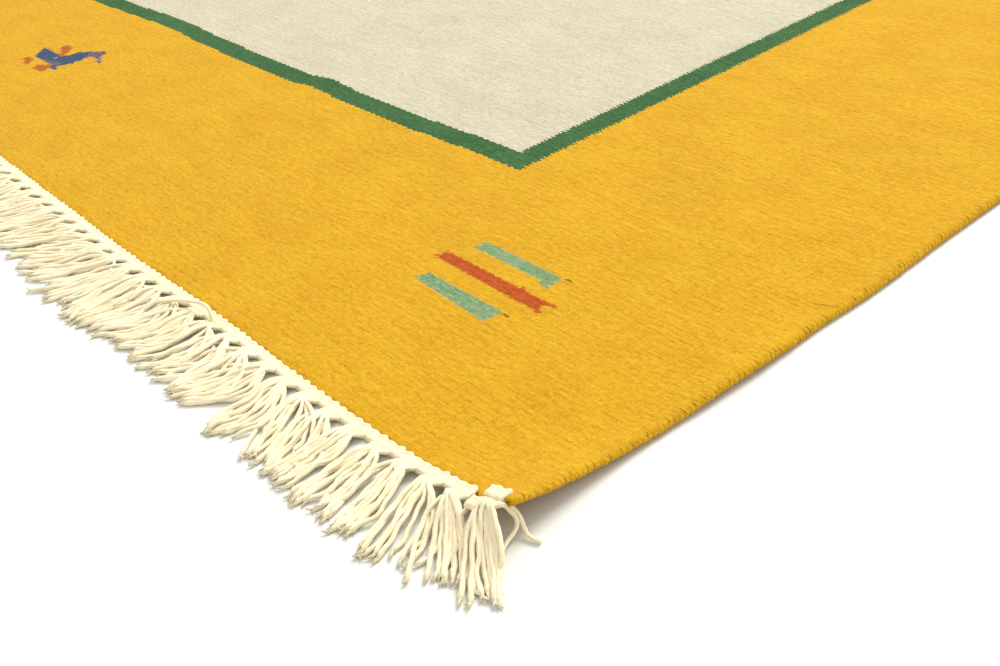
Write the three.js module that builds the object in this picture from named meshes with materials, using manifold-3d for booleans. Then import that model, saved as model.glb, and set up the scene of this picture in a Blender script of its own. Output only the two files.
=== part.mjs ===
// A flat-woven wool kilim with a knotted cotton fringe at both ends, lying on a floor.
// Millimetres. X runs across the rug along its wefts, Y along its warps, and Z up from the floor.
// The origin is on the floor under the middle of the rug. The corner at +X, -Y curls up a little.
// The pattern is woven into the one cloth and isn't raised, so it isn't in these shapes.

import * as THREE from 'three';
import Module from 'manifold-3d';

// Woven cloth, without the fringe
const WIDTH = 1600;
const LENGTH = 2300;
const CLOTH_THICKNESS = 4.2;
const BOW_REACH = 220; // how far into the cloth a bowed edge is felt

// Curl of the corner: the lift grows with the square of the distance past a slanting fold line
const CURL_LIFT = 16.5;
const CURL_ALONG_END = 98;
const CURL_ALONG_SIDE = 108;

// A slack stretch of the side edge next to the curl
const SLACK = { at: 145, half: 68, lift: 2, reach: 46 };

// End band and tassels
const PARTING = 0.3;
const BAND_WIDTH = 5.8;
const BAND_HEIGHT = 3.4;
const TASSELS = 75;
const TASSEL_PITCH = WIDTH / TASSELS;
const LOCK_LENGTH = 40; // mean length from the knot to the tip
const LOCK_WIDTH = 6;
const LOCK_HEIGHT = 2.8;
const LOCK_SPREAD = 5.2; // half the distance between the two locks of one tassel

// Lean of the tips towards the corner from which `along` counts. Neighbouring tassels lean alike.
const LEANS = [
  { along: 0, lean: 24 },
  { along: 60, lean: 12 },
  { along: 110, lean: 5 },
  { along: 160, lean: 10 },
  { along: 200, lean: -4 },
  { along: 330, lean: -8 },
  { along: 400, lean: -30 },
  { along: 520, lean: -20 },
  { along: 620, lean: -14 },
  { along: 840, lean: 6 },
  { along: 1000, lean: 12 },
  { along: 1250, lean: -10 },
  { along: WIDTH, lean: 8 },
];

// Cross-section of the wrapped side edge: distance in from the edge, and its lower and upper faces
const SELVEDGE = [
  { inset: 0, under: 1.7, top: 4.3 },
  { inset: 1.8, under: 0.2, top: 5.9 },
  { inset: 4.6, under: 0, top: 5.9 },
  { inset: 8, under: 0, top: CLOTH_THICKNESS },
];

// Cross-section of the cloth's end, beside the cotton band
const WOVEN_END = [
  { inset: 0, under: 0.3, top: CLOTH_THICKNESS - 0.5 },
  { inset: 3, under: 0, top: CLOTH_THICKNESS },
];

// Spacing of the cloth's grid lines, counted in from the two edges of the curled corner
const SPACING = [
  { until: 110, step: 16 },
  { until: 480, step: 46 },
  { until: Infinity, step: 165 },
];

// Bows of the four edges: where along the edge, counted from the end of it that is nearer to the
// curled corner, how far it stands out there, and half the length of the bow
const BOWS = [
  { edge: 'near', along: 150, out: 1.5, half: 110 },
  { edge: 'near', along: 385, out: 1.5, half: 105 },
  { edge: 'near', along: 600, out: -1.2, half: 120 },
  { edge: 'near', along: 1080, out: 2, half: 260 },
  { edge: 'right', along: 62, out: -1, half: 62 },
  { edge: 'right', along: 160, out: 1.6, half: 75 },
  { edge: 'right', along: 255, out: 1.8, half: 62 },
  { edge: 'right', along: 390, out: -1.6, half: 110 },
  { edge: 'right', along: 980, out: 3, half: 420 },
  { edge: 'right', along: 1750, out: -2.5, half: 360 },
  { edge: 'far', along: 500, out: 2, half: 360 },
  { edge: 'far', along: 1180, out: -1.5, half: 300 },
  { edge: 'left', along: 560, out: -2.5, half: 430 },
  { edge: 'left', along: 1550, out: 3, half: 480 },
];

// One bundle of warps, squeezed together where it is hitched and swelling into a soft knot after
// that: distance out from the wool, half width and height
const ROOT = { out: 4, half: 9.4, height: 2.2 };
const NECK = { out: 10.5, half: 7.2, height: 5.2 };
const KNOT = { out: 14, half: 8.4, height: 6 };

// Beyond the knot a lock runs out to its tip: share of the way, of its spread and of its lean, and
// how much of the knot's lift is left there
const LOCK = [
  { way: 0.42, spread: 0.95, lean: 0.35, hang: 0.35 },
  { way: 1, spread: 1, lean: 1, hang: 0 },
];

const wasm = await Module();
wasm.setup();

// 1 at the middle of a swelling, falling softly to 0 at its ends
function swell(distance, half) {
  const share = Math.min(Math.abs(distance) / half, 1);
  return Math.cos((share * Math.PI) / 2) ** 2;
}

function bowOut(edge, along) {
  const here = BOWS.filter((bow) => bow.edge === edge);
  return here.reduce((sum, bow) => sum + bow.out * swell(along - bow.along, bow.half), 0);
}

// Height of the cloth's underside: the curled corner and the slack stretch of the side beside it
function liftAt(x, y) {
  const fromSide = WIDTH / 2 - x;
  const fromEnd = y + LENGTH / 2;
  const past = 1 - fromSide / CURL_ALONG_END - fromEnd / CURL_ALONG_SIDE;
  const curl = CURL_LIFT * Math.max(past, 0) ** 2;
  const inward = Math.max(1 - Math.max(fromSide, 0) / SLACK.reach, 0) ** 2;
  return curl + SLACK.lift * inward * swell(fromEnd - SLACK.at, SLACK.half);
}

// A point of the straight-edged rug, moved as its bowed edges take it
function bowed(x, y) {
  const fade = (inset) => Math.max(1 - Math.max(inset, 0) / BOW_REACH, 0);
  const fromNear = y + LENGTH / 2;
  const fromRight = WIDTH / 2 - x;
  const dx =
    bowOut('right', fromNear) * fade(fromRight) - bowOut('left', fromNear) * fade(WIDTH - fromRight);
  const dy =
    bowOut('far', fromRight) * fade(LENGTH - fromNear) - bowOut('near', fromRight) * fade(fromNear);
  return [x + dx, y + dy];
}

// Value of a table's column at a place between the rows, `key` naming the column of places
function between(table, key, place, column) {
  const last = table[table.length - 1];
  if (place >= last[key]) {
    return last[column];
  }
  const k = table.findIndex((row) => row[key] > place);
  const low = table[k - 1];
  const share = (place - low[key]) / (table[k][key] - low[key]);
  return THREE.MathUtils.lerp(low[column], table[k][column], share);
}

function solidMesh(name, geometry, material) {
  const mesh = new THREE.Mesh(geometry, material);
  mesh.name = name;
  return mesh;
}

// Closed sheet over a grid of lines: an upper and a lower face joined around the edge
function sheetGeometry(columns, rows, upper, lower) {
  const positions = [];
  const index = [];
  const grid = columns.length * rows.length;
  const id = (i, j) => j * columns.length + i;
  for (const face of [upper, lower]) {
    for (const y of rows) {
      for (const x of columns) {
        positions.push(...face(x, y));
      }
    }
  }
  const quad = (a, b, c, d) => index.push(a, b, c, a, c, d);
  for (let j = 0; j < rows.length - 1; j += 1) {
    for (let i = 0; i < columns.length - 1; i += 1) {
      const [a, b, c, d] = [id(i, j), id(i + 1, j), id(i + 1, j + 1), id(i, j + 1)];
      quad(a, b, c, d);
      quad(grid + d, grid + c, grid + b, grid + a);
    }
  }
  const wall = (a, b) => quad(grid + a, grid + b, b, a);
  const [right, far] = [columns.length - 1, rows.length - 1];
  for (let i = 0; i < right; i += 1) {
    wall(id(i, 0), id(i + 1, 0));
    wall(id(i + 1, far), id(i, far));
  }
  for (let j = 0; j < far; j += 1) {
    wall(id(right, j), id(right, j + 1));
    wall(id(0, j + 1), id(0, j));
  }
  const geometry = new THREE.BufferGeometry();
  geometry.setAttribute('position', new THREE.Float32BufferAttribute(positions, 3));
  geometry.setIndex(index);
  return geometry;
}

// Grid lines from one edge to the other: both edges' own sections and the spaced lines between
function gridInsets(size, section) {
  const fromEdge = section.map((row) => row.inset);
  const insets = [...fromEdge];
  const stop = size - fromEdge[fromEdge.length - 1];
  let inset = SPACING[0].step;
  while (inset < stop) {
    insets.push(inset);
    const reached = inset;
    inset += SPACING.find((row) => reached < row.until).step;
  }
  return [...insets, ...fromEdge.map((far) => size - far).reverse()];
}

const ACROSS = gridInsets(WIDTH, SELVEDGE);
const ALONG = gridInsets(LENGTH, WOVEN_END);

function wovenGround() {
  const columns = ACROSS.map((inset) => WIDTH / 2 - inset).reverse();
  const rows = ALONG.map((inset) => inset - LENGTH / 2);
  const insets = (x, y) => [WIDTH / 2 - Math.abs(x), LENGTH / 2 - Math.abs(y)];
  const point = (x, y, height) => [...bowed(x, y), height + liftAt(x, y)];
  const upper = (x, y) => {
    const [side, end] = insets(x, y);
    const top = between(SELVEDGE, 'inset', side, 'top');
    return point(x, y, top + between(WOVEN_END, 'inset', end, 'top') - CLOTH_THICKNESS);
  };
  const lower = (x, y) => {
    const [side, end] = insets(x, y);
    const under = between(SELVEDGE, 'inset', side, 'under');
    return point(x, y, under + between(WOVEN_END, 'inset', end, 'under'));
  };
  return sheetGeometry(columns, rows, upper, lower);
}

// A closed skin put together from corners and flat faces, each face counter-clockwise from outside
function newSkin() {
  const corners = [];
  const index = [];
  const add = (points) => points.map((point) => corners.push(point) - 1);
  const face = (...ids) => {
    for (let i = 1; i < ids.length - 1; i += 1) {
      index.push(ids[0], ids[i], ids[i + 1]);
    }
  };
  // Four faces from one ring of corners to the next
  const walls = (from, to) =>
    from.forEach((_, i) => {
      const next = (i + 1) % from.length;
      face(from[i], from[next], to[next], to[i]);
    });
  const solid = () =>
    new wasm.Manifold(
      new wasm.Mesh({
        numProp: 3,
        vertProperties: new Float32Array(corners.flat()),
        triVerts: new Uint32Array(index),
      }),
    );
  return { add, face, walls, solid };
}

// Places in one end finish: `along` counts from the corner at its right, seen from outside the
// rug, and `out` from the wool's edge. Only the near end has the curled corner.
function endPlacer(edge) {
  const turn = edge === 'near' ? 1 : -1;
  return (along, out, height) => {
    const straight = [turn * (WIDTH / 2 - along), (-turn * LENGTH) / 2];
    const [x, y] = bowed(...straight).map((value) => turn * value);
    return { x, y: y - out, lift: liftAt(...straight), height };
  };
}

const asPoint = ({ x, y, lift, height }) => [x, y, lift + height];

// The band beside the wool, flat underneath, with a ring of corners at each station along it
function endBand(place, stations) {
  const section = [
    { out: PARTING, height: 0 },
    { out: PARTING + 0.5, height: BAND_HEIGHT },
    { out: PARTING + BAND_WIDTH - 1, height: BAND_HEIGHT - 0.6 },
    { out: PARTING + BAND_WIDTH, height: 0 },
  ];
  const skin = newSkin();
  const rings = stations.map((along) =>
    skin.add(section.map(({ out, height }) => asPoint(place(along, out, height)))),
  );
  rings.slice(1).forEach((ring, k) => skin.walls(rings[k], ring));
  skin.face(...[...rings[0]].reverse());
  skin.face(...rings[rings.length - 1]);
  return skin.solid();
}

// Corners at one distance along a bundle: lower left, lower right, upper right, upper left
function bundleRing(place, middle, { out, half, height }) {
  const slim = half * 0.65;
  return [
    asPoint(place(middle + half, out, 0)),
    asPoint(place(middle - half, out, 0)),
    asPoint(place(middle - slim, out, height)),
    asPoint(place(middle + slim, out, height)),
  ];
}

// Corners of a lock at one row of its table, its underside level with the floor
function lockRing(place, middle, side, number, row) {
  const uneven = (phase) => Math.sin(number * 2.4 + phase);
  const lean = between(LEANS, 'along', middle, 'lean') + 1.2 * uneven(2);
  const reach = Math.sqrt((LOCK_LENGTH + 3 * uneven(0.5)) ** 2 - lean ** 2);
  const along = middle + side * LOCK_SPREAD * row.spread - lean * row.lean;
  const out = KNOT.out + reach * row.way;
  const { x, y } = place(along, out, 0);
  const z = place(middle, KNOT.out, 0).lift * row.hang;
  const [half, slim] = [LOCK_WIDTH / 2, LOCK_WIDTH / 4];
  return [
    [x - half, y, z],
    [x + half, y, z],
    [x + slim, y, z + LOCK_HEIGHT],
    [x - slim, y, z + LOCK_HEIGHT],
  ];
}

// Warps gathered from the band into one knot, out of which two locks fork
function tassel(place, number, rows) {
  const middle = (number + 0.5) * TASSEL_PITCH;
  const skin = newSkin();
  const root = skin.add(bundleRing(place, middle, ROOT));
  const neck = skin.add(bundleRing(place, middle, NECK));
  const [low, right, upRight, upLeft] = skin.add(bundleRing(place, middle, KNOT));
  const [midLow, midUp] = skin.add([
    asPoint(place(middle, KNOT.out, 0)),
    asPoint(place(middle, KNOT.out, KNOT.height)),
  ]);
  skin.face(...[...root].reverse());
  skin.walls(root, neck);
  skin.face(neck[0], neck[1], right, midLow, low);
  skin.face(neck[1], neck[2], upRight, right);
  skin.face(neck[2], neck[3], upLeft, midUp, upRight);
  skin.face(neck[3], neck[0], low, upLeft);
  const forks = [
    { side: 1, from: [low, midLow, midUp, upLeft] },
    { side: -1, from: [midLow, right, upRight, midUp] },
  ];
  for (const { side, from } of forks) {
    const lock = 2 * number + (side > 0 ? 1 : 0);
    const tip = rows.reduce((ring, row) => {
      const next = skin.add(lockRing(place, middle, side, lock, row));
      skin.walls(ring, next);
      return next;
    }, from);
    skin.face(...tip);
  }
  return skin.solid();
}

function fringe(edge) {
  const place = endPlacer(edge);
  const lines = ACROSS.map((inset) => (edge === 'near' ? inset : WIDTH - inset));
  const stations = lines.filter((along) => along > 0 && along < WIDTH).sort((a, b) => b - a);
  const rows = edge === 'near' ? LOCK : LOCK.slice(-1);
  const pieces = [endBand(place, stations)];
  for (let k = 0; k < TASSELS; k += 1) {
    pieces.push(tassel(place, k, rows));
  }
  const joined = wasm.Manifold.union(pieces).getMesh();
  const geometry = new THREE.BufferGeometry();
  geometry.setAttribute('position', new THREE.Float32BufferAttribute(joined.vertProperties, 3));
  geometry.setIndex(new THREE.Uint32BufferAttribute(joined.triVerts, 1));
  return geometry;
}

const wool = new THREE.MeshStandardMaterial({ color: 0xecb332, roughness: 0.95, metalness: 0 });
const cotton = new THREE.MeshStandardMaterial({ color: 0xf4eccd, roughness: 0.9, metalness: 0 });

const group = new THREE.Group();
const ground = solidMesh('woven_ground', wovenGround(), wool);
const near = solidMesh('fringe_near', fringe('near'), cotton);
const far = solidMesh('fringe_far', fringe('far'), cotton);
far.rotation.z = Math.PI;
group.add(ground, near, far);

for (const mesh of group.children) {
  mesh.geometry.computeVertexNormals();
}

export default group;
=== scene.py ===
# %% [markdown]
# # A flat-woven kilim with knotted fringe
# This lesson dresses a measured model of a wool rug. The model says how wide, long and thick the
# rug is and where one corner curls up; here it gets its weave, its colours, its wrapped edges and
# its cotton fringe. Everything is in metres, with X across the rug, Y along it and Z up.

import bpy
import numpy as np
from mathutils import Matrix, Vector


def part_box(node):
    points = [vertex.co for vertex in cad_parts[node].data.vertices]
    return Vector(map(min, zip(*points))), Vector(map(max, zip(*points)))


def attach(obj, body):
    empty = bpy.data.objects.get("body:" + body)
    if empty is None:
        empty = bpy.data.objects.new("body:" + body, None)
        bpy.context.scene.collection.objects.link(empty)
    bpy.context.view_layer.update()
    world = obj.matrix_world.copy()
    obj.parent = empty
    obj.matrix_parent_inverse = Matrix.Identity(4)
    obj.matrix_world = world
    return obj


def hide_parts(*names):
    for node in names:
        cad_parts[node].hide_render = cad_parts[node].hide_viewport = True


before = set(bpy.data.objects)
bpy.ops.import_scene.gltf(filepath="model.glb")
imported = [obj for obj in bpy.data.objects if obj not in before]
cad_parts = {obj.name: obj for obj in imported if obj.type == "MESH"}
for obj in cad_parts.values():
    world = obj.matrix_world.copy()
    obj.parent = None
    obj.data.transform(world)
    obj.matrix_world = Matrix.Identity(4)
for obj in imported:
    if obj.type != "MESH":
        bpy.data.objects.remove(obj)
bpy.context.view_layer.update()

# %% [markdown]
# A kilim's sizes all follow from its yarns. The warps run along the rug and are hidden. They lie in
# pairs, so a pair counts as one warp here, and six pairs are knotted into each tassel. The wefts
# cross them and are packed so tightly that they are all one sees, so the smallest mark in the
# pattern is one warp wide and two rows of weft high.

# %% Sizes of the cloth and its yarns
MM = 0.001


def mm(**sizes):
    """A table of sizes given in millimetres, turned into metres."""
    return {name: np.multiply(size, MM) for name, size in sizes.items()}


WIDTH = 1600 * MM
LENGTH = 2300 * MM
CLOTH = 4.2 * MM
TASSELS = 77
PAIRS = 6
ROWS = 1328
WARP = WIDTH / (TASSELS * PAIRS)
PICK = LENGTH / ROWS
# The cloth's own sides lie this far inside its wrapped edges
EDGE_IN = 0.6 * MM
box_low, box_high = (np.array(corner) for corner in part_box("woven_ground"))
print(f"warp pitch {WARP / MM:.2f} mm, weft rows {PICK / MM:.2f} mm")
print("cloth's box in mm:", np.round((box_high - box_low) / MM, 1))

# %% [markdown]
# The rug lies on a floor, but not like a board. Its edges bow in and out by a millimetre or two, as
# hand weaving does. These are soft swellings, all made by one formula, a squared cosine. The corner
# nearest to us curls up past a slanting fold, with the square of the distance. Every other piece
# asks the same function where the cloth lies, which keeps selvedge, band and fringe on it.

# %% Where the cloth lies
# Bows of each edge, counted from the end nearer to the curled corner: at, out, half length (mm)
BOWS = {
    "near": [(150, 1.5, 110), (385, 1.5, 105), (600, -1.2, 120), (1080, 2, 260)],
    "right": [(62, -1, 62), (160, 1.6, 75), (255, 1.8, 62), (390, -1.6, 110),
              (980, 3, 420), (1750, -2.5, 360)],
    "far": [(500, 2, 360), (1180, -1.5, 300)],
    "left": [(560, -2.5, 430), (1550, 3, 480)],
}
BOW_REACH = 220 * MM
CURL = mm(lift=16.5, along_end=98, along_side=108)
SLACK = mm(at=145, half=68, lift=2, reach=46)


def swell(distance, half):
    """Squared cosine: 1 in the middle of a swelling, softly down to 0 at its ends."""
    return np.cos(np.clip(np.abs(distance) / half, 0, 1) * np.pi / 2) ** 2


def bow_out(edge, along):
    """How far an edge stands out: the sum of its swellings."""
    return sum(out * MM * swell(along - at * MM, half * MM) for at, out, half in BOWS[edge])


def lift(x, y):
    """Curl: lift times the square of the distance past the fold line; plus one slack stretch."""
    from_side = WIDTH / 2 - x
    from_end = y + LENGTH / 2
    past = 1 - from_side / CURL["along_end"] - from_end / CURL["along_side"]
    inward = np.clip(1 - np.maximum(from_side, 0) / SLACK["reach"], 0, 1) ** 2
    slack = SLACK["lift"] * inward * swell(from_end - SLACK["at"], SLACK["half"])
    return CURL["lift"] * np.maximum(past, 0) ** 2 + slack


def lie(x, y, height):
    """A point of the straight, flat rug, moved by the bows (fading inwards) and the lift."""
    def fade(inset):
        """1 at the edge, down to 0 where the bow's reach ends."""
        return np.clip(1 - np.maximum(inset, 0) / BOW_REACH, 0, 1)

    x, y, height = np.broadcast_arrays(x, y, height)
    right, near = WIDTH / 2 - x, y + LENGTH / 2
    across = bow_out("right", near) * fade(right) - bow_out("left", near) * fade(WIDTH - right)
    along = bow_out("far", right) * fade(LENGTH - near) - bow_out("near", right) * fade(near)
    held = lift(x, np.maximum(y, -LENGTH / 2))
    return np.stack([x + across, y + along, height + held], axis=-1)


print("corner lifted by", round(float(lift(WIDTH / 2, -LENGTH / 2)) / MM, 1), "mm")

# %% [markdown]
# The photograph is taken low over the near right corner, with a slightly tilted camera. Its height,
# its place beside the corner and its three angles were fitted to the rug's two edges, so the camera
# is built from those angles and needs no aiming by eye.

# %% The camera
HEIGHT = 351 * MM
BESIDE = {"x": 0.882 * HEIGHT, "y": 0.634 * HEIGHT}
HEADING, DOWN, TILT = np.radians([53.7, 33.2, 7.6])
FOCAL_PX, FRAME_PX = 1190, 1000
SENSOR = 36


def camera_axes():
    """Right, up and back axes: turned by heading, pitched down, then rolled by the tilt."""
    level = np.array([np.cos(HEADING), np.sin(HEADING), 0])
    ahead = np.array([-np.sin(HEADING), np.cos(HEADING), 0])
    forward = np.cos(DOWN) * ahead - np.sin(DOWN) * np.array([0, 0, 1])
    above = np.cross(level, forward)
    right = np.cos(TILT) * level - np.sin(TILT) * above
    up = np.sin(TILT) * level + np.cos(TILT) * above
    return right, up, -forward


def put(thing, place, axes):
    """Add an object to the scene at a place, turned to three axes."""
    bpy.context.scene.collection.objects.link(thing)
    turned = Matrix(np.column_stack(axes).tolist()).to_4x4()
    thing.matrix_world = Matrix.Translation(place) @ turned


lens = bpy.data.cameras.new("camera")
lens.sensor_width = SENSOR
lens.lens = SENSOR * FOCAL_PX / FRAME_PX
lens.clip_start = 0.01
camera = bpy.data.objects.new("camera", lens)
place = [WIDTH / 2 + BESIDE["x"], -LENGTH / 2 - BESIDE["y"], CLOTH + HEIGHT]
put(camera, place, camera_axes())
bpy.context.scene.camera = camera
print("camera at", np.round(place, 3), "lens", round(lens.lens, 1), "mm")

# %% [markdown]
# Small helpers do the repeated work. One turns a colour from the usual sRGB hex form to the linear
# numbers that Blender's sockets hold. One adds a node, and those after it give short names to what
# the materials do most often. The last two put arrays into a mesh and tie it to the model.

# %% Helpers
def linear(hex_colour):
    """sRGB to linear light: c/12.92 when dark, otherwise ((c + 0.055) / 1.055) to the 2.4."""
    srgb = np.array([int(hex_colour[i:i + 2], 16) for i in (1, 3, 5)]) / 255
    light = np.where(srgb <= 0.04045, srgb / 12.92, ((srgb + 0.055) / 1.055) ** 2.4)
    return (*light.tolist(), 1.0)


def add(tree, kind, inputs=(), **settings):
    """Add one node: settings are its own, inputs (in order, or by name) are values or sockets."""
    node = tree.nodes.new(kind)
    for key, value in settings.items():
        setattr(node, key, value)
    named = inputs.items() if isinstance(inputs, dict) else enumerate(inputs)
    for key, value in named:
        if isinstance(value, bpy.types.NodeSocket):
            tree.links.new(value, node.inputs[key])
        else:
            node.inputs[key].default_value = value
    return node


def maths(tree, operation, *values):
    """Output of one Math node."""
    return add(tree, "ShaderNodeMath", values, operation=operation).outputs[0]


def times(tree, first, *others):
    """Product of several values."""
    for other in others:
        first = maths(tree, "MULTIPLY", first, other)
    return first


def ranged(tree, value, *ends, **settings):
    """A value taken from between the first two ends to between the last two, and held there."""
    return add(tree, "ShaderNodeMapRange", [value, *ends], **settings).outputs[0]


def solid_noise(tree, scale, detail):
    """Noise from 0 to 1 all through a piece, its blots 1 / scale metres wide."""
    place = add(tree, "ShaderNodeTexCoord").outputs["Object"]
    return add(tree, "ShaderNodeTexNoise",
               {"Vector": place, "Scale": scale, "Detail": detail}).outputs[0]


def mixed(tree, share, first, second, blend="MIX", kind="RGBA"):
    """The first colour or number with a share of the second mixed or multiplied in."""
    return add(tree, "ShaderNodeMix", {"Factor": share, "A": first, "B": second},
               data_type=kind, blend_type=blend).outputs["Result"]


def shaded(tree, colour, shade):
    """Colour times shade."""
    grey = add(tree, "ShaderNodeCombineXYZ", [shade, shade, shade]).outputs[0]
    return mixed(tree, 1, colour, grey, "MULTIPLY")


def painted_recess_shade(tree, colour, share):
    """Painted shade: colour at share 0, colour times itself at share 1, as light meets a dye twice.
    """
    return mixed(tree, share, colour, mixed(tree, 1, colour, colour, "MULTIPLY"))


def yarn_place(tree):
    """The UV map of a yarn: turns around it and metres along it."""
    at = add(tree, "ShaderNodeUVMap", uv_map="yarn").outputs[0]
    split = add(tree, "ShaderNodeSeparateXYZ", [at])
    return split.outputs[0], split.outputs[1]


def matt_surface(name, sheen, rough=0.95, shine=0.1):
    """A matt material with a faint sheen; returns it with its node tree."""
    material = bpy.data.materials.new(name)
    material.use_nodes = True
    shader = material.node_tree.nodes["Principled BSDF"]
    for key, value in (("Roughness", rough), ("Specular IOR Level", shine), ("Sheen Weight", sheen)):
        shader.inputs[key].default_value = value
    return material, material.node_tree


def colour_and_bump(tree, colour, height):
    """Give a surface its colour, and a bump whose height is in metres."""
    shader = tree.nodes["Principled BSDF"]
    bump = add(tree, "ShaderNodeBump", {"Height": height, "Strength": 1.0, "Distance": 1.0})
    tree.links.new(colour, shader.inputs["Base Color"])
    tree.links.new(bump.outputs[0], shader.inputs["Normal"])


def make_piece(name, points, faces, corner_uv, material):
    """A smooth mesh object at the origin, with one UV map given for each corner of each face."""
    mesh = bpy.data.meshes.new(name)
    mesh.from_pydata(points.reshape(-1, 3), [], faces)
    mesh.uv_layers.new(name="yarn").data.foreach_set("uv", corner_uv.ravel())
    mesh.shade_smooth()
    mesh.materials.append(material)
    piece = bpy.data.objects.new(name, mesh)
    bpy.context.scene.collection.objects.link(piece)
    size = np.ptp(points.reshape(-1, 3), axis=0)
    print(name, len(faces), "faces, size in mm", np.round(size / MM, 1))
    return piece


def dress(piece, node):
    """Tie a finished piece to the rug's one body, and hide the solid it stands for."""
    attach(piece, "root")
    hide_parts(node)


# %% [markdown]
# Weft-faced wool: woollen singles beaten down over hidden cotton warps. The surface is rows of
# small oval beads, one warp wide and a row high, each column half a row out of step with the next.
# Hand-spun, hand-dyed wool is uneven, so the beads wander a little, differ in shade and are flecked
# with fibres of another tint. The pattern is a change of dye, so it is worked out here from the
# same lattice: joins along the rug are toothed, because wefts of two colours turn back on
# neighbouring warps, and joins across it follow the rows.

# %% Dyes and pattern sizes
# Each dye: its main colour, the colour of its flecks, and the share of beads with flecks
DYES = {
    "yellow": ("#CC9F1E", "#B88211", 0.2),
    "green": ("#224E28", "#4E7041", 0.3),
    "cream": ("#C5BEA6", "#ADA484", 0.12),
    "teal": ("#5C8250", "#929F7E", 0.4),
    "red": ("#B5531E", "#933C11", 0.35),
    "blue": ("#2C405B", "#4A5668", 0.25),
    "violet": ("#5D4C55", "#66586A", 0.25),
    "orange": ("#AC561E", "#985E14", 0.35),
    "pale": ("#7A889C", "#667790", 0.3),
    "dark": ("#66491C", "#4E3814", 0.3),
}
MOTIF_DYES = ["teal", "red", "blue", "violet", "orange", "pale", "dark"]
# The guard line: its outer and inner edges, from the side and from the end of the rug
GUARD = mm(side=(264.7, 285.8), end=(230.3, 249.6))
# Its teeth at the sides: how far they reach, and how uneven they are
TOOTH = {"shake": 0.6, **mm(reach=1)}
# Edges of the motifs: how much fibres add to a dye's cover, and how softly the dye sets in
FUZZ = {"reach": 1.3, "soft": 0.13}
# How far the yarns wander from ruled lines, and how many times in a metre
WOBBLE = {"scale": 380, **mm(reach=(2.6, 1.7, 0))}
# How the guard line wanders on its way along the end: distance from the right corner, shift (mm)
WANDER = [(0, 1), (280, 2.2), (360, 0.8), (420, -0.8), (490, -0.2), (525, 1.8), (545, -2.2),
          (640, -2.1), (700, -0.8), (740, 0.3), (770, 2.2), (820, 1.8), (870, -0.6),
          (920, -1.8), (1200, 0.8), (1600, -1)]
WANDER_SPAN = 8 * MM


def stretched_noise(tree, x, y, wide, high, detail):
    """Noise from 0 to 1 whose blots are about `wide` by `high` millimetres."""
    across = maths(tree, "DIVIDE", x, wide * MM)
    along = maths(tree, "DIVIDE", y, high * MM)
    at = add(tree, "ShaderNodeCombineXYZ", [across, along]).outputs[0]
    return add(tree, "ShaderNodeTexNoise", {"Vector": at, "Scale": 1.0, "Detail": detail},
               noise_dimensions="2D").outputs[0]


def cell_noise(tree, column, row, seed):
    """One random number from 0 to 1 for each bead."""
    moved = maths(tree, "ADD", column, seed)
    cell = add(tree, "ShaderNodeCombineXYZ", [moved, row]).outputs[0]
    return add(tree, "ShaderNodeTexWhiteNoise", {"Vector": cell},
               noise_dimensions="2D").outputs["Value"]


def wandering_place(tree):
    """X and Y on the flat rug, moved by soft noise so that the yarns aren't ruled lines."""
    at = add(tree, "ShaderNodeUVMap", uv_map="yarn").outputs[0]
    noise = add(tree, "ShaderNodeTexNoise", {"Vector": at, "Scale": WOBBLE["scale"], "Detail": 1},
                noise_dimensions="2D").outputs["Color"]
    centred = add(tree, "ShaderNodeVectorMath", [noise, (0.5, 0.5, 0.5)], operation="SUBTRACT")
    moved = add(tree, "ShaderNodeVectorMath", [centred.outputs[0], WOBBLE["reach"], at],
                operation="MULTIPLY_ADD")
    split = add(tree, "ShaderNodeSeparateXYZ", [moved.outputs[0]])
    return split.outputs[0], split.outputs[1]


def weave_lattice(tree, x, y):
    """Column and row of the bead at x, y, and its height: (1 - |2u|^3)(1 - |2v|^2)."""
    across = maths(tree, "DIVIDE", x, WARP)
    column = maths(tree, "FLOOR", across)
    odd = maths(tree, "FLOORED_MODULO", column, 2)
    along = maths(tree, "MULTIPLY_ADD", odd, 0.5, maths(tree, "DIVIDE", y, PICK))
    row = maths(tree, "FLOOR", along)
    height = 1
    for place, power in ((across, 3), (along, 2)):
        offset = maths(tree, "SUBTRACT", maths(tree, "FRACT", place), 0.5)
        twice = maths(tree, "ABSOLUTE", times(tree, offset, 2))
        fall = maths(tree, "SUBTRACT", 1, maths(tree, "POWER", twice, power))
        height = times(tree, fall, height)
    return column, row, height


def guard_wander(tree, x):
    """Shift of the guard line along the end, from a curve through the table's points."""
    share = maths(tree, "MULTIPLY_ADD", x, -1 / WIDTH, 0.5)
    curve = add(tree, "ShaderNodeFloatCurve", {"Value": share})
    points = curve.mapping.curves[0].points
    levels = [(at * MM / WIDTH, 0.5 + shift * MM / WANDER_SPAN) for at, shift in WANDER]
    points[0].location, points[1].location = levels[0], levels[-1]
    for level in levels[1:-1]:
        points.new(*level)
    curve.mapping.update()
    return times(tree, maths(tree, "SUBTRACT", curve.outputs[0], 0.5), WANDER_SPAN)


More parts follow.
